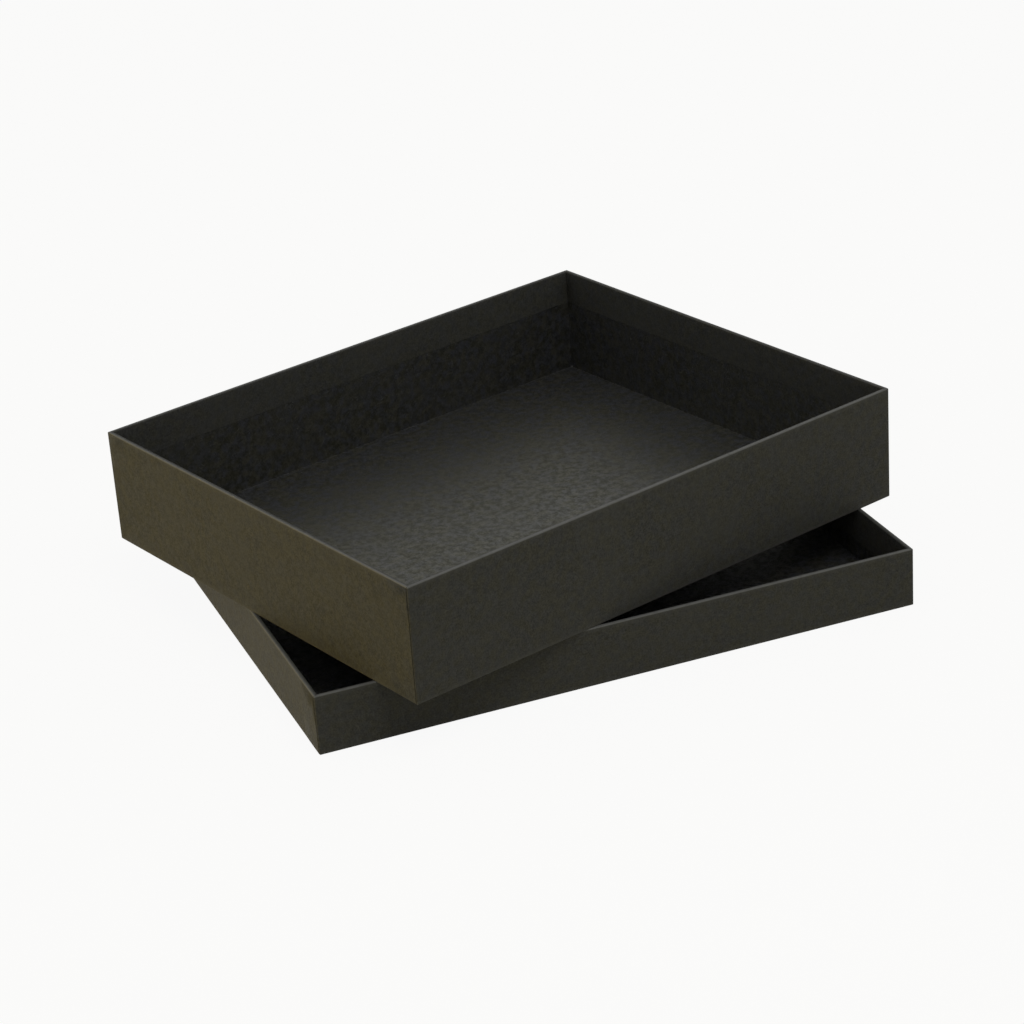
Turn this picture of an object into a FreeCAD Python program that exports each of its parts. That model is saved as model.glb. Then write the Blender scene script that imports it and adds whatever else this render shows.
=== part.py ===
import FreeCAD, Part
import os
import Sketcher

# A two-piece rigid box in black board, wrapped in black paper. The deep tray stands open and
# slightly turned on its own shallow lid, which lies upside down under it as a second tray.
# Lengths are in millimetres. The origin is the middle of the lid's underside, +X runs along the
# lid's long side, +Y along its short side, away from the viewer, and +Z points up.

# Driving dimensions: alias, value, meaning.
SIZES = (
    ("tray_length", 305.0, "long side of the deep tray, over its paper"),
    ("tray_width", 252.0, "short side of the deep tray, over its paper"),
    ("tray_height", 60.0, "height of the deep tray, over its paper"),
    ("lid_height", 31.0, "height of the lid, over its paper"),
    ("lid_clearance", 1.2, "room between a tray wall and the lid wall round it, on each side"),
    ("board", 2.0, "thickness of the board"),
    ("paper", 0.15, "thickness of the wrapping paper"),
    ("turn_in", 18.5, "depth of the paper that is turned in over the rim"),
    ("edge_round", 0.6, "rounding of the wrapped outer edges and of the rim"),
    ("stay_paper", 0.12, "thickness of the paper stays pressed into the board's corners"),
    ("stay_leg", 16.0, "reach of a stay on each of its two walls"),
    ("stay_setback", 3.0, "distance of a stay from the fold below it and the rim above it"),
    ("corner_gap", 0.1, "gap at each corner, where a short wall butts against a long wall"),
    ("mitre_gap", 0.25, "gap between two turned-in flaps at a corner"),
    ("seam_setback", 0.8, "distance from a corner to the edge of the short side's paper"),
    ("tab_length", 14.0, "reach of the long side's paper round a corner, under the short side's"),
    ("turn_angle", 17.1, "turn of the deep tray on the lid, in degrees"),
    ("shift_x", -7.6, "offset of the deep tray's middle along the lid's long side"),
    ("shift_y", 5.2, "offset of the deep tray's middle along the lid's short side"),
)

# Derived lengths, as expressions on the sheet.
WALL = "(sizes.board + 2 * sizes.paper)"
FLOOR = "(sizes.board + sizes.paper)"
LID_GROWTH = f"(2 * sizes.lid_clearance + 2 * {WALL})"
TRAYS = {
    "tray": ("sizes.tray_length", "sizes.tray_width", "sizes.tray_height"),
    "lid": (
        f"(sizes.tray_length + {LID_GROWTH})",
        f"(sizes.tray_width + {LID_GROWTH})",
        "sizes.lid_height",
    ),
}
CORNERS = {
    "front_left": (-1, -1),
    "front_right": (1, -1),
    "back_left": (-1, 1),
    "back_right": (1, 1),
}
NEAR = 0.001

doc = FreeCAD.newDocument("cardboard_trays")
nodes = []


def make_sheet():
    sheet = doc.addObject("Spreadsheet::Sheet", "sizes")
    for row, (alias, value, meaning) in enumerate(SIZES, start=1):
        sheet.set(f"A{row}", alias)
        sheet.set(f"B{row}", str(value))
        sheet.set(f"C{row}", meaning)
        sheet.setAlias(f"B{row}", alias)
    doc.recompute()


# Small helpers for bound features.
def bind(feature, **expressions):
    for prop, expression in expressions.items():
        feature.setExpression(prop.replace("__", "."), expression)
    return feature


def centred_rectangle(body, name, length, width, level):
    plane = next(f for f in body.Origin.OriginFeatures if f.Role == "XY_Plane")
    sketch = body.newObject("Sketcher::SketchObject", name)
    sketch.AttachmentSupport = (plane, [""])
    sketch.MapMode = "FlatFace"
    points = [FreeCAD.Vector(x, y, 0) for x, y in ((-9, -7), (9, -7), (9, 7), (-9, 7))]
    for start, end in zip(points, points[1:] + points[:1]):
        sketch.addGeometry(Part.LineSegment(start, end), False)
    for side in range(4):
        sketch.addConstraint(Sketcher.Constraint("Coincident", side, 2, (side + 1) % 4, 1))
    for side, direction in enumerate(("Horizontal", "Vertical", "Horizontal", "Vertical")):
        sketch.addConstraint(Sketcher.Constraint(direction, side))
    sketch.addConstraint(Sketcher.Constraint("Symmetric", 0, 1, 1, 2, -1, 1))
    for label, side, axis in (("length", 0, "DistanceX"), ("width", 1, "DistanceY")):
        index = sketch.addConstraint(Sketcher.Constraint(axis, side, 1, side, 2, 15.0))
        sketch.renameConstraint(index, label)
    return bind(
        sketch,
        Constraints__length=length,
        Constraints__width=width,
        AttachmentOffset__Base__z=level,
    )


def block(name, length, width, height, place, angle=0.0):
    box = doc.addObject("Part::Box", name)
    box.Placement = FreeCAD.Placement(
        FreeCAD.Vector(), FreeCAD.Rotation(FreeCAD.Vector(0, 0, 1), angle)
    )
    return bind(
        box,
        Length=length,
        Width=width,
        Height=height,
        Placement__Base__x=place[0],
        Placement__Base__y=place[1],
        Placement__Base__z=place[2],
    )


def fuse(name, shapes):
    union = doc.addObject("Part::MultiFuse", name)
    union.Shapes = shapes
    return union


def cut(name, base, tool):
    difference = doc.addObject("Part::Cut", name)
    difference.Base = base
    difference.Tool = tool
    return difference


def common(name, base, tool):
    overlap = doc.addObject("Part::Common", name)
    overlap.Base = base
    overlap.Tool = tool
    return overlap


def edge_names(shape, wanted):
    return [f"Edge{i}" for i, edge in enumerate(shape.Edges, start=1) if wanted(edge.BoundBox)]


# A block with all its outer edges rounded, from one level to another.
def rounded_block(name, length, width, low, high, radius):
    body = doc.addObject("PartDesign::Body", name)
    outline = centred_rectangle(body, f"{name}_outline", length, width, low)
    pad = body.newObject("PartDesign::Pad", f"{name}_pad")
    pad.Profile = outline
    bind(pad, Length=f"{high} - {low}")
    doc.recompute()
    rounding = body.newObject("PartDesign::Fillet", f"{name}_rounding")
    rounding.Base = (pad, edge_names(pad.Shape, lambda box: True))
    bind(rounding, Radius=radius)
    doc.recompute()
    return body


# The same block hollowed from above, with the mouth's edges rounded too.
def open_tray(name, length, width, low, high, radius, wall, floor):
    body = rounded_block(name, length, width, low, high, radius)
    solid_volume = body.Shape.Volume
    mouth = centred_rectangle(
        body, f"{name}_mouth", f"{length} - 2 * {wall}", f"{width} - 2 * {wall}", floor
    )
    hollow = body.newObject("PartDesign::Pocket", f"{name}_hollow")
    hollow.Profile = mouth
    hollow.Reversed = True
    bind(hollow, Length=f"{high} - {floor}")
    doc.recompute()
    if body.Shape.Volume > 0.5 * solid_volume:
        raise RuntimeError(f"{name}: the hollow didn't cut")
    reach = mouth.Shape.BoundBox
    top = body.Shape.BoundBox.ZMax

    def on_mouth(box):
        inside = box.XMax < reach.XMax + NEAR and box.YMax < reach.YMax + NEAR
        return inside and box.ZMin > top - NEAR and box.XMin > reach.XMin - NEAR

    rim = body.newObject("PartDesign::Fillet", f"{name}_rim")
    rim.Base = (hollow, edge_names(hollow.Shape, on_mouth))
    bind(rim, Radius=radius)
    doc.recompute()
    return body


def name_node(feature, label, posed):
    feature.Label = label
    if posed:
        axis = FreeCAD.Vector(0, 0, 1)
        feature.Placement = FreeCAD.Placement(FreeCAD.Vector(), FreeCAD.Rotation(axis, 1))
        bind(
            feature,
            Placement__Rotation__Angle="sizes.turn_angle",
            Placement__Base__x="sizes.shift_x",
            Placement__Base__y="sizes.shift_y",
            Placement__Base__z="sizes.lid_height",
        )
    nodes.append(feature)


# Where something lies against the far side of a corner: its near end, for either sign.
def corner_start(sign, half, size):
    return f"{half} - {size}" if sign > 0 else f"-{half}"


# The board is one blank, scored, folded up and butted at the corners. The stays are pressed
# flush into it, round each corner, and hold its walls together.
def make_board_and_stays(kind, posed):
    length, width, height = TRAYS[kind]
    board_length = f"({length} - 2 * sizes.paper)"
    board_width = f"({width} - 2 * sizes.paper)"
    board_top = f"({height} - sizes.paper)"
    blank = open_tray(
        f"{kind}_blank", board_length, board_width, "sizes.paper", board_top,
        "(sizes.edge_round - sizes.paper)", "sizes.board", FLOOR,
    )
    core = rounded_block(
        f"{kind}_stay_core", f"({board_length} - 2 * sizes.stay_paper)",
        f"({board_width} - 2 * sizes.stay_paper)", "sizes.paper", board_top,
        "(sizes.edge_round - sizes.paper - sizes.stay_paper)",
    )
    sleeve = cut(f"{kind}_stay_sleeve", blank, core)
    stay_low = f"({FLOOR} + sizes.stay_setback)"
    stay_height = f"{board_top} - sizes.stay_setback - {stay_low}"
    windows = []
    gaps = []
    for corner, (side_x, side_y) in CORNERS.items():
        start_x = corner_start(side_x, f"{board_length} / 2", "sizes.stay_leg")
        start_y = corner_start(side_y, f"{board_width} / 2", "sizes.stay_leg")
        window = block(
            f"{kind}_window_{corner}", "sizes.stay_leg", "sizes.stay_leg", stay_height,
            (start_x, start_y, stay_low),
        )
        windows.append(window)
        name_node(
            common(f"{kind}_stay_{corner}_form", sleeve, window), f"{kind}_stay_{corner}", posed
        )
        inner_y = f"({board_width} / 2 - sizes.board)"
        gaps.append(block(
            f"{kind}_gap_{corner}", "sizes.board", "sizes.corner_gap", f"{board_top} - {FLOOR}",
            (
                corner_start(side_x, f"{board_length} / 2", "sizes.board"),
                corner_start(side_y, inner_y, "sizes.corner_gap"),
                FLOOR,
            ),
        ))
    seats = common(f"{kind}_stay_seats", sleeve, fuse(f"{kind}_windows", windows))
    openings = fuse(f"{kind}_board_openings", [seats] + gaps)
    name_node(cut(f"{kind}_board_form", blank, openings), f"{kind}_board", posed)
    return blank


# The wrap is one sheet of paper: bottom panel, four sides, and flaps turned in over the rim and
# mitred at the corners. A mitre's slot ends before the corner's rounding, so that the paper
# outside stays whole. The long sides' tabs pass round each corner under the short sides' paper,
# which lies one thickness proud over them.
def make_wrap(kind, blank, posed):
    length, width, height = TRAYS[kind]
    envelope = open_tray(
        f"{kind}_envelope", length, width, "0", height, "sizes.edge_round", WALL, "sizes.paper"
    )
    turn_in_low = f"({height} - sizes.turn_in)"
    bare_wall = block(
        f"{kind}_bare_wall", f"{length} - 2 * {FLOOR}", f"{width} - 2 * {FLOOR}",
        f"{turn_in_low} - sizes.paper",
        (f"-({length} / 2 - {FLOOR})", f"-({width} / 2 - {FLOOR})", "sizes.paper"),
    )
    hidden = [blank, bare_wall]
    tabs = []
    for corner, (side_x, side_y) in CORNERS.items():
        across = "sizes.mitre_gap / sqrt(8)"
        mouth_x = f"{side_x} * ({length} / 2 - {WALL} - sizes.mitre_gap)"
        mouth_y = f"{side_y} * ({width} / 2 - {WALL} - sizes.mitre_gap)"
        hidden.append(block(
            f"{kind}_mitre_{corner}", f"({WALL} + sizes.mitre_gap / 2 - sizes.edge_round) * sqrt(2)",
            "sizes.mitre_gap", "sizes.turn_in",
            (
                f"{mouth_x} + {side_y} * {across}",
                f"{mouth_y} - {side_x} * {across}",
                turn_in_low,
            ),
            {(1, 1): 45, (-1, 1): 135, (-1, -1): 225, (1, -1): 315}[side_x, side_y],
        ))
        seam_y = f"({width} / 2 - sizes.seam_setback)"
        tabs.append(block(
            f"{kind}_tab_{corner}", "sizes.paper", "sizes.tab_length - sizes.seam_setback",
            f"{height} - 2 * sizes.edge_round",
            (
                f"{length} / 2" if side_x > 0 else f"-{length} / 2 - sizes.paper",
                corner_start(side_y, seam_y, "(sizes.tab_length - sizes.seam_setback)"),
                "sizes.edge_round",
            ),
        ))
    skin = cut(f"{kind}_skin", envelope, fuse(f"{kind}_hidden", hidden))
    name_node(fuse(f"{kind}_wrap_form", [skin] + tabs), f"{kind}_wrap", posed)


def check_and_write():
    doc.recompute()
    for feature in doc.Objects:
        if {"Invalid", "Error"} & set(feature.State):
            raise RuntimeError(f"{feature.Label}: {feature.State}")
    for node in nodes:
        shape = node.Shape
        if shape.isNull() or not shape.isValid() or len(shape.Solids) != 1:
            raise RuntimeError(f"{node.Label}: not one valid solid")
    os.makedirs("parts", exist_ok=True)
    for node in nodes:
        node.Shape.exportStep(f"parts/{node.Label}.step")
        box = node.Shape.BoundBox
        print(
            f"{node.Label}: {node.Shape.Volume:.1f} mm3,"
            f" x {box.XMin:.2f}..{box.XMax:.2f}, y {box.YMin:.2f}..{box.YMax:.2f},"
            f" z {box.ZMin:.2f}..{box.ZMax:.2f}"
        )


make_sheet()
for kind, posed in (("tray", True), ("lid", False)):
    blank = make_board_and_stays(kind, posed)
    make_wrap(kind, blank, posed)
check_and_write()
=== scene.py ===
"""Dresses a black paper-wrapped cardboard box, opened into a stack of two trays.

Lengths are in metres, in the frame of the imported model. The run makes the papers, boards and
stays of both trays, then the stage.
"""

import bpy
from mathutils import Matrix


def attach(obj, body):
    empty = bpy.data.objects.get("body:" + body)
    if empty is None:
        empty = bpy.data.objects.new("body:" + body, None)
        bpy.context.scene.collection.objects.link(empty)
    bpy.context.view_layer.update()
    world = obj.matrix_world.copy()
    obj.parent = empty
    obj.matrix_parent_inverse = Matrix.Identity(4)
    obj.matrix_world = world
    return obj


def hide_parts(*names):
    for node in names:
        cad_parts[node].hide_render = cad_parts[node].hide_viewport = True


bl_info = {
    "name": "Cardboard Tray Stack",
    "version": (1, 0, 0),
    "blender": (4, 5, 0),
    "location": "3D View > Sidebar > Trays",
    "description": "Papers, boards, stays and stage of a cardboard box, opened into two trays",
    "category": "Object",
}

import bmesh
import bpy
import math
from mathutils import Matrix, Vector

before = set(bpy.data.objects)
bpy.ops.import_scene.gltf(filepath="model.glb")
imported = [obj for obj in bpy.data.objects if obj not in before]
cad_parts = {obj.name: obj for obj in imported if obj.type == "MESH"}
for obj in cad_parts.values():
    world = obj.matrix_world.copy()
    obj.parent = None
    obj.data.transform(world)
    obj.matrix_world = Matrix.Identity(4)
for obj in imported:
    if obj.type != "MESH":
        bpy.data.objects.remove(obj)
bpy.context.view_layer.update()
BODY = "root"
MM = 0.001
CORNERS = ("front_left", "front_right", "back_left", "back_right")
TRAYS = ("tray", "lid")

# The board's and the paper's sizes in the CAD model, and the reach within which points are merged.
BOARD = 2.0 * MM
PAPER = 0.15 * MM
WALL = BOARD + 2 * PAPER
FLOOR = BOARD + PAPER
SEAM_SETBACK = 0.8 * MM
TAB = 14 * MM
MERGE_REACH = 0.002 * MM

# The search for a tray's turn.
WIDEST_TURN = math.radians(30)
TURN_STEPS = 36

# How far a wall's own points reach inwards, and a tab's step to each side and downwards.
WALL_SLACK = 0.5 * MM
STEP_SLACK = 0.1 * MM
STEP_DEPTH_SLACK = 0.03 * MM

# A cell's height as a share of its length, and the angle from which an edge stays sharp.
CELL_HEIGHT = 0.75
SHARP_ANGLE = math.radians(35)

# The seed of the ripples in each tray's walls.
SEEDS = {"tray": 3.0, "lid": 11.0}

# The pulp of the paper and of the board: share of coarse grain, range of the grain, size and
# shift of the clouds, size, shift and share of two sets of hairs, and spread of the roughness.
PULPS = {
    "paper": {
        "coarse": 0.28, "range": (0.25, 0.75), "cloud": (28 * MM, 1.3),
        "hairs": ((6 * MM, 0.4, 0.42), (9 * MM, 2.1, 0.40)), "rough": 0.05,
    },
    "board": {
        "coarse": 0.5, "range": (0.36, 0.64), "cloud": (35 * MM, 2.3),
        "hairs": ((5 * MM, 1.4, 0.46), (8 * MM, 4.1, 0.42)), "rough": 0.12,
    },
}

# Marks: the share of the base that each covers at most, and its tone as a factor of the base.
MARKS = {
    "paper cloud": (0.35, 1.15), "paper fibres": (0.30, 2.0), "seam_gap_and_shadow": (0.65, 0.25),
    "board cloud": (0.3, 1.25), "board fibres": (0.35, 2.4), "flecks": (0.5, 2.2),
    "crease": (0.55, 2.6), "corner": (0.7, 6.0), "stay fibres": (0.5, 1.25),
}

# Sizes of the other patterns.
COARSE_GRAIN = 3
TINT_SIZE = 5 * MM
WEAR_SIZE = 4 * MM
SWELL_SIZE = 14 * MM
FLECK_SIZE = 2.2 * MM
FOLD_WEAR_SIZE = 3 * MM
STAY_PULP_SIZE = 1.2 * MM
STAY_GLUE_SIZE = 7 * MM
STAY_HAIRS = (4 * MM, 0.9, 0.5)

# Hairs: the line's width and its curl, and the size, shift and fading of the patches that have
# hairs, the first two measured by the hairs' own.
HAIR_WIDTH = 0.012
HAIR_CURL = 0.6
PATCH_SIZE = 0.7
PATCH_SHIFT = 7
PATCH_FADE = 0.08

# How many times less red and green drift than blue does.
TINT_DIVISORS = (3, 10)

# Ranges of the noises over which their patterns fade in.
TINT_RANGE = (0.35, 0.65)
CLOUD_RANGE = (0.35, 0.7)
WEAR_RANGE = (0.2, 0.6)
FLECK_RANGE = (0.74, 0.80)
FOLD_WEAR_RANGE = (0.35, 0.6)
STAY_PULP_RANGE = (0.3, 0.7)
STAY_GLUE_RANGE = (0.4, 0.65)

# How far rubbing reaches from a fold, the part of the crest's painted highlight that wear leaves
# everywhere, the part that reaches the rim's inner side, and how much smoother the crest is.
WEAR_REACH = 5 * MM
CREST_LEAST = 0.7
CREST_INSIDE = 0.15
CREST_SMOOTHING = 0.15

# Distances over which a mark fades: the crest's depth below the top and its way across the rim,
# half the width of a seam's line, the depth of the outer face, and the distance from a fold of
# the floor and from the floor's corner.
CREST_DEPTH = (0.1 * MM, 0.7 * MM)
CREST_ACROSS = (0.8 * MM, 1.8 * MM)
SEAM_LINE = (0.12 * MM, 0.4 * MM)
OUTER_FACE = (0.4 * MM, 0.7 * MM)
CREASE_LINE = (0.1 * MM, 0.5 * MM)
CORNER_SPOT = (0.5 * MM, 1.3 * MM)

# Relief: how much the fibres add to the grain, and the height and strength of each bump.
FIBRE_RELIEF = {"paper": 0.4, "board": 0.5}
PAPER_BUMP = (0.05 * MM, 0.6)
SWELL_BUMP = (0.12 * MM, 0.5)
BOARD_BUMP = (0.15 * MM, 0.9)
STAY_BUMP = (0.04 * MM, 0.5)
STAY_ROUGHNESS = (0.85, 0.6)

# Lamps: name, place, width and height, colour, and the setting of the power.
LAMPS = (
    ("key_light", (0.19, -1.08, 1.94), (1.0, 1.0), (1, 1, 0.98), "key_power"),
    ("side_light", (-2.16, 0.38, 0.06), (1.2, 0.1), (1, 0.73, 0.17), "side_power"),
)
LAMP_AIM = Vector((0, 0, 0.04))
FLOOR_ROUGHNESS = 0.9
SENSOR_WIDTH = 36


class TrayPlace:
    """The turn, middle and half sizes of a tray, measured on its paper."""

    def __init__(self, node):
        points = [v.co.copy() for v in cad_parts[node].data.vertices]
        low, high = -WIDEST_TURN, WIDEST_TURN
        for _ in range(TURN_STEPS):
            third = (high - low) / 3
            if self.spread(points, low + third) < self.spread(points, high - third):
                high -= third
            else:
                low += third
        self.turn = (low + high) / 2
        corners = self.turned_bounds(points, self.turn)
        self.half = (corners[1] - corners[0]) / 2
        self.height = corners[1].z - corners[0].z
        middle = (corners[0] + corners[1]) / 2
        middle.z = corners[0].z
        self.middle = Matrix.Rotation(self.turn, 3, "Z") @ middle

    @staticmethod
    def turned_bounds(points, turn):
        back = Matrix.Rotation(-turn, 3, "Z")
        turned = [back @ p for p in points]
        low = Vector(min(p[i] for p in turned) for i in range(3))
        high = Vector(max(p[i] for p in turned) for i in range(3))
        return low, high

    def spread(self, points, turn):
        low, high = self.turned_bounds(points, turn)
        return (high.x - low.x) * (high.y - low.y)

    def outward(self):
        """From the tray's own axes to the frame."""
        return Matrix.Translation(self.middle) @ Matrix.Rotation(self.turn, 4, "Z")

    def inward(self):
        return self.outward().inverted()


PLACES = {tray: TrayPlace(f"{tray}_wrap") for tray in TRAYS}


# Sizes and colours that a user would change.
class TraysShapeSettings(bpy.types.PropertyGroup):
    """How far the glued walls spring from straight."""

    long_bow: bpy.props.FloatProperty(
        name="Long bow", description="Outward spring of a long wall, at the middle of its rim",
        subtype="DISTANCE", unit="LENGTH", default=0.35 * MM,
    )
    short_bow: bpy.props.FloatProperty(
        name="Short bow", description="Outward spring of a short wall, at the middle of its rim",
        subtype="DISTANCE", unit="LENGTH", default=-0.25 * MM,
    )
    ripple: bpy.props.FloatProperty(
        name="Ripple", description="Uneven part of a wall's spring", subtype="DISTANCE",
        unit="LENGTH", min=0, default=0.30 * MM,
    )
    ripple_size: bpy.props.FloatProperty(
        name="Ripple size", description="Length of one ripple along a wall",
        subtype="DISTANCE", unit="LENGTH", min=MM, default=90 * MM,
    )
    tab_slide: bpy.props.FloatProperty(
        name="Tab slide", description="Length of the paper's slope beside a tab under it",
        subtype="DISTANCE", unit="LENGTH", min=0, max=8 * MM, default=7 * MM,
    )
    cell: bpy.props.FloatProperty(
        name="Cell", description="Spacing of the cuts that let a wall bend",
        subtype="DISTANCE", unit="LENGTH", min=MM, default=12 * MM,
    )


class TraysPaperSettings(bpy.types.PropertyGroup):
    """The black wrapping paper."""

    colour: bpy.props.FloatVectorProperty(
        name="Colour", description="Main tone of the paper", subtype="COLOR", size=3,
        min=0, max=1, default=(0.0505, 0.0500, 0.0435),
    )
    grain: bpy.props.FloatProperty(
        name="Grain", description="Size of the paper's grain", subtype="DISTANCE",
        unit="LENGTH", min=0.1 * MM, max=5 * MM, default=0.9 * MM,
    )
    contrast: bpy.props.FloatProperty(
        name="Contrast", description="How much the grain changes the tone", subtype="FACTOR",
        min=0, max=1, default=0.42,
    )
    tint: bpy.props.FloatProperty(
        name="Tint", description="How far the tone drifts between cooler and warmer",
        subtype="FACTOR", min=0, max=0.5, default=0.07,
    )
    roughness: bpy.props.FloatProperty(
        name="Roughness", description="Roughness of the paper's surface", subtype="FACTOR",
        min=0, max=1, default=0.68,
    )
    gloss: bpy.props.FloatProperty(
        name="Gloss", description="Specular level of the paper", subtype="FACTOR",
        min=0, max=1, default=0.07,
    )
    rubbed_colour: bpy.props.FloatVectorProperty(
        name="Rubbed colour", description="Tone of the paper where it is rubbed at a fold",
        subtype="COLOR", size=3, min=0, max=1, default=(0.075, 0.074, 0.068),
    )
    # The crest colour is a painted highlight on the rim's outer edge, with some rubbing in it.
    rim_wear_and_highlight_colour: bpy.props.FloatVectorProperty(
        name="Crest colour", description="Tone of the paper on the rim's outer edge",
        subtype="COLOR", size=3, min=0, max=1, default=(0.17, 0.17, 0.162),
    )
    rub: bpy.props.FloatProperty(
        name="Rub", description="How far the paper is rubbed light along its folds",
        subtype="FACTOR", min=0, max=1, default=0.6,
    )
    # The crest sets how strong the painted highlight on the rim's outer edge is, with some rubbing
    # in it.
    rim_wear_and_highlight: bpy.props.FloatProperty(
        name="Crest", description="How far the paper is rubbed light on the rim's outer edge",
        subtype="FACTOR", min=0, max=1, default=0.8,
    )


class TraysBoardSettings(bpy.types.PropertyGroup):
    """The black board under the paper."""

    colour: bpy.props.FloatVectorProperty(
        name="Colour", description="Main tone of the board", subtype="COLOR", size=3,
        min=0, max=1, default=(0.0276, 0.0276, 0.0280),
    )
    grain: bpy.props.FloatProperty(
        name="Grain", description="Size of the board's grain", subtype="DISTANCE",
        unit="LENGTH", min=0.1 * MM, max=5 * MM, default=1.1 * MM,
    )
    contrast: bpy.props.FloatProperty(
        name="Contrast", description="How much the grain changes the tone", subtype="FACTOR",
        min=0, max=1, default=0.7,
    )
    tint: bpy.props.FloatProperty(
        name="Tint", description="How far the tone drifts between cooler and warmer",
        subtype="FACTOR", min=0, max=0.5, default=0.16,
    )
    roughness: bpy.props.FloatProperty(
        name="Roughness", description="Roughness of the board's surface", subtype="FACTOR",
        min=0, max=1, default=0.46,
    )
    gloss: bpy.props.FloatProperty(
        name="Gloss", description="Specular level of the board", subtype="FACTOR",
        min=0, max=1, default=0.385,
    )
    # The gloss colour paints a warm reflection: it tints the board's gloss yellow in place of warm
    # surroundings.
    painted_reflection_tint: bpy.props.FloatVectorProperty(
        name="Gloss colour", description="Tint of the board's gloss", subtype="COLOR", size=3,
        min=0, max=1, default=(1.0, 0.99, 0.60),
    )


class TraysStaySettings(bpy.types.PropertyGroup):
    """The brown paper stays, sealed between board and paper at the corners."""

    dark: bpy.props.FloatVectorProperty(
        name="Dark fibres", description="Tone of the stays' dark fibres", subtype="COLOR",
        size=3, min=0, max=1, default=(0.28, 0.18, 0.10),
    )
    light: bpy.props.FloatVectorProperty(
        name="Light fibres", description="Tone of the stays' light fibres", subtype="COLOR",
        size=3, min=0, max=1, default=(0.43, 0.30, 0.17),
    )


class TraysStageSettings(bpy.types.PropertyGroup):
    """Floor, lights and camera."""

    camera_place: bpy.props.FloatVectorProperty(
        name="Camera", description="Place of the camera", subtype="TRANSLATION",
        unit="LENGTH", size=3, default=(-0.4770, -1.2795, 0.6800),
    )
    camera_aim: bpy.props.FloatVectorProperty(
        name="Aim", description="Point that the camera looks at", subtype="TRANSLATION",
        unit="LENGTH", size=3, default=(-0.0119, -0.0189, 0.0450),
    )
    camera_roll: bpy.props.FloatProperty(
        name="Roll", description="Turn of the camera about its line of sight",
        subtype="ANGLE", unit="ROTATION", default=math.radians(-4.08),
    )
    lens: bpy.props.FloatProperty(
        name="Lens", description="Focal length for a sensor 36 mm wide, in millimetres",
        unit="CAMERA", min=10, max=500, default=103.6,
    )
    floor_size: bpy.props.FloatProperty(
        name="Floor", description="Side of the floor", subtype="DISTANCE", unit="LENGTH",
        min=1, default=40,
    )
    floor_colour: bpy.props.FloatVectorProperty(
        name="Floor colour", description="Tone of the floor in the light that it sends up",
        subtype="COLOR", size=3, min=0, max=1, default=(0.76, 0.72, 0.53),
    )
    floor_white: bpy.props.FloatProperty(
        name="Floor white", description="Share of plain white in the floor as seen directly",
        subtype="FACTOR", min=0, max=1, default=0.93,
    )
    ambient: bpy.props.FloatProperty(
        name="Ambient", description="Strength of the light from all round", min=0, default=0.35,
    )
    key_power: bpy.props.FloatProperty(
        name="Key light", description="Power of the large light above the front",
        subtype="POWER", unit="POWER", min=0, default=10,
    )
    side_power: bpy.props.FloatProperty(
        name="Side light", description="Power of the warm, low light on the left",
        subtype="POWER", unit="POWER", min=0, default=19.5,
    )


# Building blocks for node trees.
class NodeBench:
    """Adds nodes to a tree and joins them as they are added."""

    def __init__(self, tree):
        self.tree = tree

    def add(self, kind, inputs=None, **settings):
        node = self.tree.nodes.new(kind)
        for key, value in settings.items():
            setattr(node, key, value)
        for key, value in (inputs or {}).items():
            self.set(node.inputs[key], value)
        return node

    def set(self, socket, value):
        if isinstance(value, bpy.types.NodeSocket):
            self.tree.links.new(value, socket)
        else:
            socket.default_value = value

    def maths(self, operation, *values, clamp=False):
        node = self.add("ShaderNodeMath", dict(enumerate(values)), operation=operation)
        node.use_clamp = clamp
        return node.outputs[0]

    def noise(self, vector, size, detail=2.0, roughness=0.5, shift=0.0, distortion=0.0):
        place = vector
        if shift:
            place = self.add(
                "ShaderNodeVectorMath", {0: vector, 1: (shift, shift * 2, shift * 3)},
                operation="ADD",
            ).outputs[0]
        inputs = {
            "Vector": place, "Scale": 1 / size, "Detail": detail, "Roughness": roughness,
            "Distortion": distortion,
        }
        return self.add("ShaderNodeTexNoise", inputs).outputs["Fac"]

    def window(self, value, low, high, start=0.0, end=1.0):
        """Goes smoothly from start to end while the value goes from low to high."""
        inputs = {
            "Value": value, "From Min": low, "From Max": high, "To Min": start, "To Max": end,
        }
        node = self.add("ShaderNodeMapRange", inputs, interpolation_type="SMOOTHSTEP")
        return node.outputs["Result"]


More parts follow.
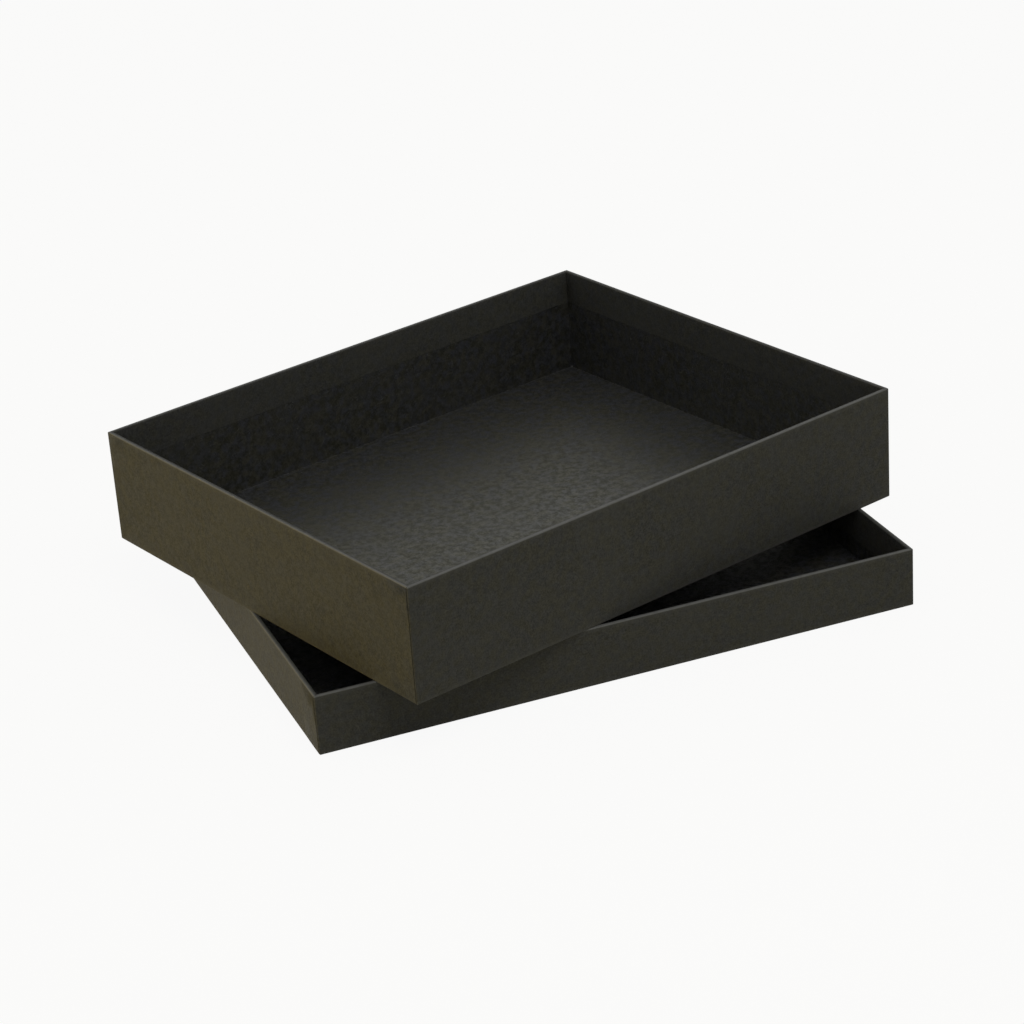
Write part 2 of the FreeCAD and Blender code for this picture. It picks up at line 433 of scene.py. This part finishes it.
class Finish(NodeBench):
    """A material and the patterns that it is made of."""

    def __init__(self, name):
        self.material = bpy.data.materials.new(name)
        self.material.use_nodes = True
        super().__init__(self.material.node_tree)
        self.shader = self.tree.nodes["Principled BSDF"]

    def blend(self, factor, low, high, mode="MIX"):
        node = self.add("ShaderNodeMix", data_type="RGBA", blend_type=mode)
        sockets = {s.identifier: s for s in node.inputs}
        self.set(sockets["Factor_Float"], factor)
        self.set(sockets["A_Color"], low)
        self.set(sockets["B_Color"], high)
        return next(s for s in node.outputs if s.identifier == "Result_Color")

    def tray_axes(self, place):
        """Object coordinates, turned and moved to a tray's own axes."""
        inward = place.inward()
        coordinates = self.add("ShaderNodeTexCoord")
        inputs = {
            "Vector": coordinates.outputs["Object"], "Location": inward.to_translation(),
            "Rotation": inward.to_euler(),
        }
        return self.add("ShaderNodeMapping", inputs).outputs["Vector"]

    def depths(self, local, place):
        """How deep a point lies under the tray's long, short, top and bottom outer faces."""
        parts = self.add("ShaderNodeSeparateXYZ", {0: local}).outputs
        sideways = self.maths("ABSOLUTE", parts["X"])
        along = self.maths("ABSOLUTE", parts["Y"])
        return {
            "short": self.maths("SUBTRACT", place.half.x, sideways),
            "long": self.maths("SUBTRACT", place.half.y, along),
            "top": self.maths("SUBTRACT", place.height, parts["Z"]),
            "bottom": parts["Z"],
        }

    def grain(self, local, size, coarse_share):
        """Fine grain with some of a coarser one in it, about 0.25 to 0.75."""
        fine = self.noise(local, size, detail=4.0, roughness=0.65)
        coarse = self.noise(local, size * COARSE_GRAIN, detail=2.0, shift=5.3)
        return self.maths(
            "ADD", self.maths("MULTIPLY", fine, 1 - coarse_share),
            self.maths("MULTIPLY", coarse, coarse_share),
        )

    def tinted(self, colour, local, spread):
        """A colour that drifts between a cooler and a warmer tone."""
        field = self.window(self.noise(local, TINT_SIZE, detail=1.0, shift=9.7), *TINT_RANGE)
        red, green = (spread / divisor for divisor in TINT_DIVISORS)
        cool = (1 - red, 1 - green, 1 + spread, 1)
        warm = (1 + red, 1 + green, 1 - spread, 1)
        return self.blend(1.0, colour, self.blend(field, cool, warm), mode="MULTIPLY")

    def hairs(self, local, size, shift, share):
        """Sparse curved hair lines, 0 to 1."""
        field = self.noise(local, size, detail=1.0, shift=shift, distortion=HAIR_CURL)
        ridge = self.maths("ABSOLUTE", self.maths("SUBTRACT", field, 0.5))
        line = self.window(ridge, 0.0, HAIR_WIDTH, 1.0, 0.0)
        patches = self.noise(local, size * PATCH_SIZE, shift=shift + PATCH_SHIFT)
        patch = self.window(patches, 1 - share, 1 + PATCH_FADE - share)
        return self.maths("MULTIPLY", line, patch)

    def mark(self, colour, cover, name, base):
        """Lays a mark over a colour, in a tone of the base."""
        share, factor = MARKS[name]
        return self.blend(self.maths("MULTIPLY", cover, share), colour, tone(base, factor))

    def pulp(self, local, settings, kind):
        """The colour of a paper or board, with its grain, clouds and fibres in it, and the
        patterns of the grain and the fibres."""
        look = PULPS[kind]
        base = settings.colour
        grain = self.grain(local, settings.grain, look["coarse"])
        colour = self.blend(
            self.window(grain, *look["range"]), tone(base, 1 - settings.contrast),
            tone(base, 1 + settings.contrast),
        )
        colour = self.tinted(colour, local, settings.tint)
        size, shift = look["cloud"]
        cloud = self.window(self.noise(local, size, detail=3.0, shift=shift), *CLOUD_RANGE)
        colour = self.mark(colour, cloud, f"{kind} cloud", base)
        fibres = self.maths("MAXIMUM", *(self.hairs(local, *hairs) for hairs in look["hairs"]))
        colour = self.mark(colour, fibres, f"{kind} fibres", base)
        return colour, grain, fibres

    def rough(self, grain, settings, kind):
        """Roughness that follows the grain."""
        spread = PULPS[kind]["rough"]
        return self.window(
            grain, *PULPS[kind]["range"], settings.roughness + spread, settings.roughness - spread
        )

    def relief(self, grain, fibres, kind):
        return self.maths("ADD", grain, self.maths("MULTIPLY", fibres, FIBRE_RELIEF[kind]))

    def bump(self, height, size, under=None):
        """A bump of some height and strength, over the normal of another one if it is given."""
        inputs = {"Height": height, "Distance": size[0], "Strength": size[1]}
        if under:
            inputs["Normal"] = under
        return self.add("ShaderNodeBump", inputs).outputs["Normal"]

    def finished(self, colour, roughness, normal):
        """The material, with its patterns on the shader."""
        self.set(self.shader.inputs["Base Color"], colour)
        self.set(self.shader.inputs["Roughness"], roughness)
        self.set(self.shader.inputs["Normal"], normal)
        return self.material


def tone(colour, factor):
    return (*(channel * factor for channel in colour), 1.0)


def paper_finish(name, place, settings):
    """Matt black paper: fine grain, faint cloud, stray fibres, rubbed folds, a painted rim
    highlight and seams with painted shadow.
    """
    finish = Finish(name)
    local = finish.tray_axes(place)
    depths = finish.depths(local, place)
    colour, grain, fibres = finish.pulp(local, settings, "paper")

    # Rubbing lightens the folds along the rim and the foot. A painted highlight, broken up by
    # wear, lights the rim's outer edge most of all.
    side = finish.maths("MINIMUM", depths["short"], depths["long"])
    level = finish.maths("MINIMUM", depths["top"], depths["bottom"])
    wear = finish.noise(local, WEAR_SIZE, detail=3.0, roughness=0.6, shift=3.7)
    reach = finish.maths("MULTIPLY", wear, WEAR_REACH)
    rubbed = finish.maths(
        "SUBTRACT", 1.0, finish.maths("DIVIDE", finish.maths("MAXIMUM", side, level), reach),
        clamp=True,
    )
    rubbed = finish.maths("MULTIPLY", rubbed, settings.rub)
    rim_wear_and_highlight = finish.window(depths["top"], *CREST_DEPTH, settings.rim_wear_and_highlight, 0.0)
    rim_wear_and_highlight = finish.maths("MULTIPLY", rim_wear_and_highlight, finish.window(wear, *WEAR_RANGE, CREST_LEAST, 1.0))
    rim_wear_and_highlight = finish.maths(
        "MULTIPLY", rim_wear_and_highlight, finish.window(side, *CREST_ACROSS, 1.0, CREST_INSIDE)
    )
    colour = finish.blend(rubbed, colour, (*settings.rubbed_colour, 1))
    # The crest colour paints a highlight on the rim's outer edge, broken up by wear.
    colour = finish.blend(rim_wear_and_highlight, colour, (*settings.rim_wear_and_highlight_colour, 1))

    # A dark line is painted where the short side's paper ends, beside each corner: painted shadow
    # of the paper's step, over its glue gap.
    off_seam = finish.maths("ABSOLUTE", finish.maths("SUBTRACT", depths["long"], SEAM_SETBACK))
    seam_gap_and_shadow = finish.window(off_seam, *SEAM_LINE, 1.0, 0.0)
    outside = finish.window(depths["short"], *OUTER_FACE, 1.0, 0.0)
    colour = finish.mark(
        colour, finish.maths("MULTIPLY", seam_gap_and_shadow, outside), "seam_gap_and_shadow", settings.colour
    )

    smoothing = finish.maths("MULTIPLY", rim_wear_and_highlight, CREST_SMOOTHING)
    rough = finish.maths("SUBTRACT", finish.rough(grain, settings, "paper"), smoothing)
    soft = finish.noise(local, SWELL_SIZE, detail=1.0, shift=5.9)
    fine = finish.bump(finish.relief(grain, fibres, "paper"), PAPER_BUMP)
    finish.shader.inputs["Specular IOR Level"].default_value = settings.gloss
    return finish.finished(colour, rough, finish.bump(soft, SWELL_BUMP, under=fine))


def board_finish(name, place, settings):
    """Smooth black board: pressed fibres, flecks, a lighter line along its floor's folds, and a
    painted warm reflection in its gloss.
    """
    finish = Finish(name)
    local = finish.tray_axes(place)
    depths = finish.depths(local, place)
    colour, grain, fibres = finish.pulp(local, settings, "board")
    flecks = finish.noise(local, FLECK_SIZE, detail=0.0, shift=8.3)
    colour = finish.mark(
        colour, finish.window(flecks, *FLECK_RANGE), "flecks", settings.colour
    )

    # A lighter line runs along the floor's folds, with a lighter spot where two folds meet.
    fold_short = finish.maths("ABSOLUTE", finish.maths("SUBTRACT", depths["short"], WALL))
    fold_long = finish.maths("ABSOLUTE", finish.maths("SUBTRACT", depths["long"], WALL))
    fold_level = finish.maths("ABSOLUTE", finish.maths("SUBTRACT", depths["bottom"], FLOOR))
    fold = finish.maths("MAXIMUM", finish.maths("MINIMUM", fold_short, fold_long), fold_level)
    worn = finish.noise(local, FOLD_WEAR_SIZE, detail=2.0, shift=6.1)
    crease = finish.window(fold, *CREASE_LINE, 1.0, 0.0)
    crease = finish.maths("MULTIPLY", crease, finish.window(worn, *FOLD_WEAR_RANGE))
    colour = finish.mark(colour, crease, "crease", settings.colour)
    corner = finish.maths("MAXIMUM", finish.maths("MAXIMUM", fold_short, fold_long), fold_level)
    corner_spot = finish.window(corner, *CORNER_SPOT, 1.0, 0.0)
    colour = finish.mark(colour, corner_spot, "corner", settings.colour)

    finish.shader.inputs["Specular IOR Level"].default_value = settings.gloss
    # Painted warm reflection: the gloss is tinted yellow in place of warm surroundings.
    finish.shader.inputs["Specular Tint"].default_value = (*settings.painted_reflection_tint, 1)
    normal = finish.bump(finish.relief(grain, fibres, "board"), BOARD_BUMP)
    return finish.finished(colour, finish.rough(grain, settings, "board"), normal)


def stay_finish(name, place, settings):
    """Brown paper with long fibres and the shine of dried glue."""
    finish = Finish(name)
    local = finish.tray_axes(place)
    pulp = finish.noise(local, STAY_PULP_SIZE, detail=4.0, roughness=0.6)
    colour = finish.blend(
        finish.window(pulp, *STAY_PULP_RANGE), (*settings.dark, 1), (*settings.light, 1)
    )
    colour = finish.mark(
        colour, finish.hairs(local, *STAY_HAIRS), "stay fibres", settings.light
    )
    glue = finish.noise(local, STAY_GLUE_SIZE, detail=2.0, shift=2.7)
    rough = finish.window(glue, *STAY_GLUE_RANGE, *STAY_ROUGHNESS)
    return finish.finished(colour, rough, finish.bump(pulp, STAY_BUMP))


# Walls that spring a little, as glued board does.
WALL_INPUTS = (
    ("Geometry", "NodeSocketGeometry"),
    ("Half length", "NodeSocketFloat"),
    ("Half width", "NodeSocketFloat"),
    ("Floor", "NodeSocketFloat"),
    ("Height", "NodeSocketFloat"),
    ("Wall", "NodeSocketFloat"),
    ("Long bow", "NodeSocketFloat"),
    ("Short bow", "NodeSocketFloat"),
    ("Ripple", "NodeSocketFloat"),
    ("Ripple size", "NodeSocketFloat"),
    ("Paper", "NodeSocketFloat"),
    ("Tab", "NodeSocketFloat"),
    ("Tab slide", "NodeSocketFloat"),
    ("Seed", "NodeSocketFloat"),
    ("Finish", "NodeSocketMaterial"),
)


def sprung_walls_tree():
    """Bends each wall of a tray outwards, most at the middle of its rim."""
    tree = bpy.data.node_groups.new("Sprung walls", "GeometryNodeTree")
    for name, kind in WALL_INPUTS:
        tree.interface.new_socket(name=name, in_out="INPUT", socket_type=kind)
    tree.interface.new_socket(name="Geometry", in_out="OUTPUT", socket_type="NodeSocketGeometry")
    bench = NodeBench(tree)
    given = bench.add("NodeGroupInput").outputs
    position = bench.add("GeometryNodeInputPosition").outputs[0]
    parts = bench.add("ShaderNodeSeparateXYZ", {0: position}).outputs
    rise = bench.maths(
        "DIVIDE", bench.maths("SUBTRACT", parts["Z"], given["Floor"]),
        bench.maths("SUBTRACT", given["Height"], given["Floor"]), clamp=True,
    )
    ripple_place = bench.add(
        "ShaderNodeVectorMath", {0: position, 1: given["Ripple size"]}, operation="DIVIDE"
    ).outputs[0]
    field = bench.add("ShaderNodeTexNoise", {
        "Vector": ripple_place, "W": given["Seed"], "Scale": 1.0, "Detail": 1.0,
    }, noise_dimensions="4D").outputs["Fac"]
    uneven = bench.maths(
        "MULTIPLY", bench.maths("SUBTRACT", field, 0.5),
        bench.maths("MULTIPLY", given["Ripple"], 2.0),
    )

    def spring(across, half_across, along, half_along, bow):
        """The offset of the two walls that face one way."""
        depth = bench.maths("SUBTRACT", half_across, bench.maths("ABSOLUTE", across))
        inner = bench.maths("ADD", given["Wall"], WALL_SLACK)
        within = bench.maths("LESS_THAN", depth, inner)
        share = bench.maths("POWER", bench.maths("DIVIDE", along, half_along), 2.0)
        middle = bench.maths("SUBTRACT", 1.0, share, clamp=True)
        amount = bench.maths("MULTIPLY", bench.maths("ADD", bow, uneven), middle)
        amount = bench.maths("MULTIPLY", bench.maths("MULTIPLY", amount, rise), within)
        return bench.maths("MULTIPLY", amount, bench.maths("SIGN", across))

    # The paper slopes down beside each tab that lies under it.
    depth = bench.maths("SUBTRACT", given["Half length"], bench.maths("ABSOLUTE", parts["X"]))
    tab_edge = bench.maths("SUBTRACT", given["Half width"], given["Tab"])
    at_step = bench.maths(
        "MULTIPLY",
        bench.maths("COMPARE", bench.maths("ABSOLUTE", parts["Y"]), tab_edge, STEP_SLACK),
        bench.maths("LESS_THAN", depth, bench.maths("ADD", given["Paper"], STEP_DEPTH_SLACK)),
    )
    down_step = bench.maths("DIVIDE", depth, given["Paper"], clamp=True)
    slide = bench.maths("MULTIPLY", at_step, down_step)
    slide = bench.maths("MULTIPLY", slide, given["Tab slide"])
    slide = bench.maths("MULTIPLY", slide, bench.maths("SIGN", parts["Y"]))

    offset = bench.add("ShaderNodeCombineXYZ", {
        "X": spring(
            parts["X"], given["Half length"], parts["Y"], given["Half width"], given["Short bow"]
        ),
        "Y": bench.maths("SUBTRACT", spring(
            parts["Y"], given["Half width"], parts["X"], given["Half length"], given["Long bow"]
        ), slide),
    }).outputs[0]
    bent = bench.add("GeometryNodeSetPosition", {
        "Geometry": given["Geometry"], "Offset": offset,
    }).outputs[0]
    real = bench.add("GeometryNodeRealizeInstances", {"Geometry": bent}).outputs[0]
    dressed = bench.add("GeometryNodeSetMaterial", {
        "Geometry": real, "Material": given["Finish"],
    }).outputs[0]
    bench.add("NodeGroupOutput", {"Geometry": dressed})
    return tree


def cut_copy(node, place, cell):
    """A merged copy of a CAD node on the tray's own axes, cut into cells so that it can bend."""
    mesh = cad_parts[node].data.copy()
    mesh.transform(place.inward())
    work = bmesh.new()
    work.from_mesh(mesh)
    bmesh.ops.remove_doubles(work, verts=work.verts, dist=MERGE_REACH)
    if any(not edge.is_manifold for edge in work.edges):
        raise RuntimeError(f"{node} isn't closed after its points are merged")
    for axis, low, high in (
        (0, -place.half.x, place.half.x),
        (1, -place.half.y, place.half.y),
        (2, FLOOR, place.height),
    ):
        count = max(2, round((high - low) / (cell if axis < 2 else cell * CELL_HEIGHT)))
        normal = Vector((axis == 0, axis == 1, axis == 2))
        for step in range(1, count):
            level = low + (high - low) * step / count
            bmesh.ops.bisect_plane(
                work, geom=work.verts[:] + work.edges[:] + work.faces[:],
                dist=MERGE_REACH, plane_co=normal * level, plane_no=normal,
            )
    work.to_mesh(mesh)
    work.free()
    mesh.materials.clear()
    return mesh


def sprung_piece(name, node, tray, material, settings):
    """Bends the copy of a CAD node with the tree and puts it in the node's place."""
    place = PLACES[tray]
    piece = bpy.data.objects.new(name, cut_copy(node, place, settings.cell))
    bpy.context.scene.collection.objects.link(piece)
    tree = bpy.data.node_groups.get("Sprung walls") or sprung_walls_tree()
    modifier = piece.modifiers.new("Sprung walls", "NODES")
    modifier.node_group = tree
    values = {
        "Half length": place.half.x, "Half width": place.half.y, "Floor": FLOOR,
        "Height": place.height, "Wall": WALL, "Long bow": settings.long_bow,
        "Short bow": settings.short_bow, "Ripple": settings.ripple,
        "Ripple size": settings.ripple_size, "Paper": PAPER, "Tab": TAB,
        "Tab slide": settings.tab_slide, "Seed": SEEDS[tray], "Finish": material,
    }
    for item in tree.interface.items_tree:
        if item.in_out == "INPUT" and item.name in values:
            modifier[item.identifier] = values[item.name]
    shaped = piece.evaluated_get(bpy.context.evaluated_depsgraph_get())
    mesh = bpy.data.meshes.new_from_object(shaped)
    piece.modifiers.remove(modifier)
    mesh.transform(place.outward())
    mesh.shade_smooth()
    mesh.set_sharp_from_angle(angle=SHARP_ANGLE)
    piece.data = mesh
    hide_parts(node)
    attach(piece, BODY)


# One operator for each group of like pieces, and one for the stage.
class TRAYS_OT_papers(bpy.types.Operator):
    """Make the black wrapping paper of both trays"""

    bl_idname = "trays.papers"
    bl_label = "Wrapping papers"

    def execute(self, context):
        scene = context.scene
        for tray in TRAYS:
            material = paper_finish(f"{tray}_paper_finish", PLACES[tray], scene.trays_paper)
            sprung_piece(
                f"{tray}_paper", f"{tray}_wrap", tray, material, scene.trays_shape
            )
        return {"FINISHED"}


class TRAYS_OT_boards(bpy.types.Operator):
    """Make the black board of both trays"""

    bl_idname = "trays.boards"
    bl_label = "Boards"

    def execute(self, context):
        scene = context.scene
        for tray in TRAYS:
            material = board_finish(f"{tray}_board_finish", PLACES[tray], scene.trays_board)
            sprung_piece(
                f"{tray}_folded_board", f"{tray}_board", tray, material, scene.trays_shape
            )
        return {"FINISHED"}


class TRAYS_OT_stays(bpy.types.Operator):
    """Give the sealed-in corner stays their brown paper"""

    bl_idname = "trays.stays"
    bl_label = "Corner stays"

    def execute(self, context):
        for tray in TRAYS:
            material = stay_finish(f"{tray}_stay_finish", PLACES[tray], context.scene.trays_stay)
            for corner in CORNERS:
                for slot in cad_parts[f"{tray}_stay_{corner}"].material_slots:
                    slot.material = material
        return {"FINISHED"}


def seen_directly(bench):
    """1 for rays that show the background, 0 for those that carry light to the trays."""
    path = bench.add("ShaderNodeLightPath").outputs
    seen = bench.maths("ADD", path["Is Camera Ray"], path["Is Glossy Ray"])
    return bench.maths("ADD", seen, path["Is Transmission Ray"], clamp=True)


class TRAYS_OT_stage(bpy.types.Operator):
    """Make the floor, the background, the lights and the camera"""

    bl_idname = "trays.stage"
    bl_label = "Stage"

    def execute(self, context):
        settings = context.scene.trays_stage
        self.make_floor(context.scene, settings)
        self.make_world(context.scene, settings)
        for name, place, size, colour, power in LAMPS:
            self.make_light(context.scene, name, place, size, colour, getattr(settings, power))
        self.make_camera(context.scene, settings)
        context.scene.view_settings.view_transform = "Standard"
        return {"FINISHED"}

    def make_floor(self, scene, settings):
        half = settings.floor_size / 2
        mesh = bpy.data.meshes.new("floor")
        corners = [(-half, -half, 0), (half, -half, 0), (half, half, 0), (-half, half, 0)]
        mesh.from_pydata(corners, [], [(0, 1, 2, 3)])
        floor = bpy.data.objects.new("floor", mesh)
        scene.collection.objects.link(floor)
        finish = Finish("pale_floor")
        finish.shader.inputs["Base Color"].default_value = (*settings.floor_colour, 1)
        finish.shader.inputs["Roughness"].default_value = FLOOR_ROUGHNESS
        white = finish.add("ShaderNodeEmission", {"Color": (1, 1, 1, 1), "Strength": 1.0})
        share = finish.maths("MULTIPLY", seen_directly(finish), settings.floor_white)
        mixed = finish.add("ShaderNodeMixShader", {
            0: share, 1: finish.shader.outputs["BSDF"], 2: white.outputs["Emission"],
        })
        finish.set(finish.tree.nodes["Material Output"].inputs["Surface"], mixed.outputs[0])
        mesh.materials.append(finish.material)

    def make_world(self, scene, settings):
        world = bpy.data.worlds.new("white_room")
        scene.world = world
        world.use_nodes = True
        bench = NodeBench(world.node_tree)
        background = world.node_tree.nodes["Background"]
        background.inputs["Color"].default_value = (1, 1, 1, 1)
        bench.set(
            background.inputs["Strength"],
            bench.window(seen_directly(bench), 0.0, 1.0, settings.ambient, 1.0),
        )

    def make_light(self, scene, name, place, size, colour, power):
        light = bpy.data.lights.new(name, "AREA")
        light.shape = "ELLIPSE"
        light.size, light.size_y = size
        light.energy = power
        light.color = colour
        lamp = bpy.data.objects.new(name, light)
        scene.collection.objects.link(lamp)
        lamp.location = place
        aim = LAMP_AIM - Vector(place)
        lamp.rotation_euler = aim.to_track_quat("-Z", "Y").to_euler()

    def make_camera(self, scene, settings):
        data = bpy.data.cameras.new("camera")
        data.lens = settings.lens
        data.sensor_width = SENSOR_WIDTH
        camera = bpy.data.objects.new("camera", data)
        scene.collection.objects.link(camera)
        camera.location = settings.camera_place
        sight = Vector(settings.camera_aim) - Vector(settings.camera_place)
        upright = sight.to_track_quat("-Z", "Y").to_matrix()
        turned = upright @ Matrix.Rotation(settings.camera_roll, 3, "Z")
        camera.rotation_euler = turned.to_euler()
        scene.camera = camera


class TRAYS_PT_panel(bpy.types.Panel):
    """Lists the steps that dress the tray stack"""

    bl_idname = "TRAYS_PT_panel"
    bl_label = "Cardboard Tray Stack"
    bl_space_type = "VIEW_3D"
    bl_region_type = "UI"
    bl_category = "Trays"

    def draw(self, context):
        for operator in OPERATORS:
            self.layout.operator(operator.bl_idname)


SETTINGS = {
    "trays_shape": TraysShapeSettings,
    "trays_paper": TraysPaperSettings,
    "trays_board": TraysBoardSettings,
    "trays_stay": TraysStaySettings,
    "trays_stage": TraysStageSettings,
}
OPERATORS = (TRAYS_OT_papers, TRAYS_OT_boards, TRAYS_OT_stays, TRAYS_OT_stage)


def register():
    for cls in (*SETTINGS.values(), *OPERATORS, TRAYS_PT_panel):
        bpy.utils.register_class(cls)
    for name, cls in SETTINGS.items():
        setattr(bpy.types.Scene, name, bpy.props.PointerProperty(type=cls))


def unregister():
    for name in SETTINGS:
        delattr(bpy.types.Scene, name)
    for cls in (TRAYS_PT_panel, *reversed(OPERATORS), *reversed(list(SETTINGS.values()))):
        bpy.utils.unregister_class(cls)


def main():
    register()
    bpy.ops.trays.papers()
    bpy.ops.trays.boards()
    bpy.ops.trays.stays()
    bpy.ops.trays.stage()


if __name__ == "__main__":
    main()
